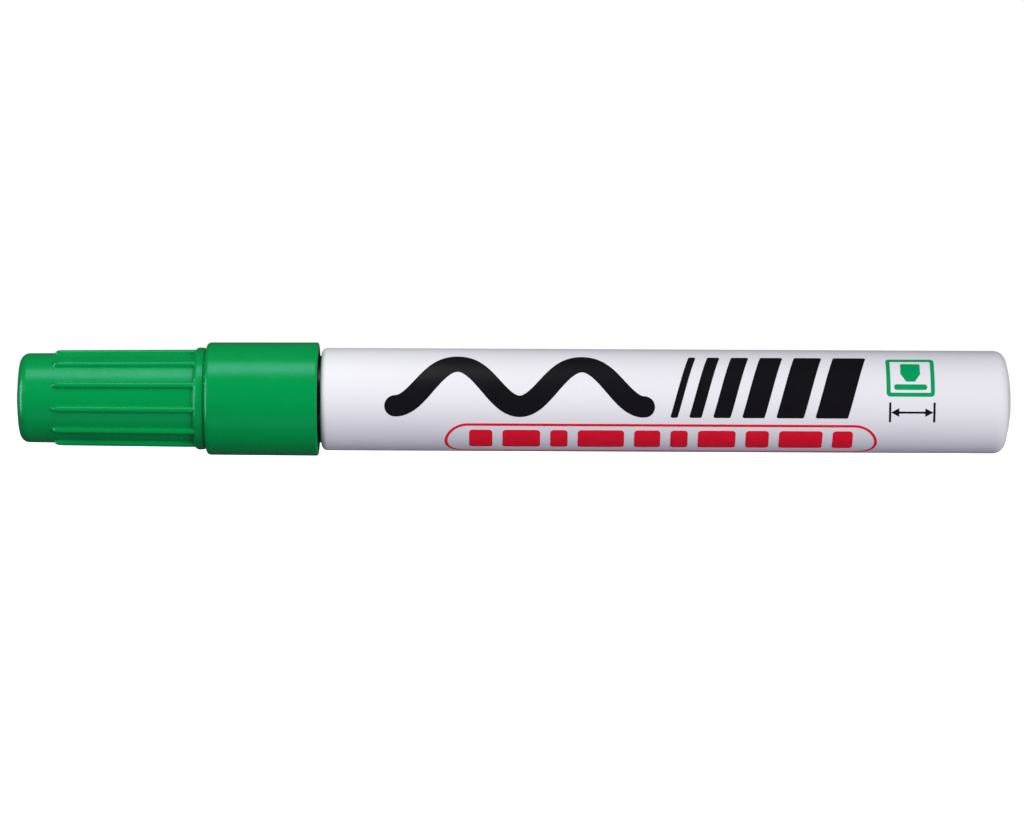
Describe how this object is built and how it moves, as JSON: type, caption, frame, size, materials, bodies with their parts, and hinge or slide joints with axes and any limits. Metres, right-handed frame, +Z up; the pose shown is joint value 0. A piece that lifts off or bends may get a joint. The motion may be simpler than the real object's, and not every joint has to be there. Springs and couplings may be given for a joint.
{
  "type": "whiteboard marker",
  "caption": "Capped whiteboard marker: a slim white aluminium barrel with a ribbed green push-on cap over a bullet nib, for writing on dry-wipe boards.",
  "frame": {"origin": "under the middle of the capped marker's length, on the surface that its cap's skirt rests on", "axes": "+X along the marker's axis from the cap to the closed end of the barrel, +Z up"},
  "size_m": [0.138, 0.0158, 0.0158],
  "materials": {
    "cap_plastic": "satin",
    "liner_plastic": "satin",
    "nib_fibre": "matte",
    "holder_plastic": "satin",
    "barrel_paint": "satin",
    "reservoir_fibre": "matte",
    "reservoir_wrap": "gloss"
  },
  "bodies": {
    "marker": {"barrel": "barrel_paint", "nib_holder": "holder_plastic", "nib": "nib_fibre", "reservoir_core": "reservoir_fibre", "reservoir_film": "reservoir_wrap"},
    "cap": {"cap_shell": "cap_plastic", "inner_cap": "liner_plastic"}
  },
  "joints": [
    {"name": "cap_pull", "type": "slide", "parent": "marker", "child": "cap", "axis": [-1, 0, 0], "range_m": [0, 0.045]}
  ]
}
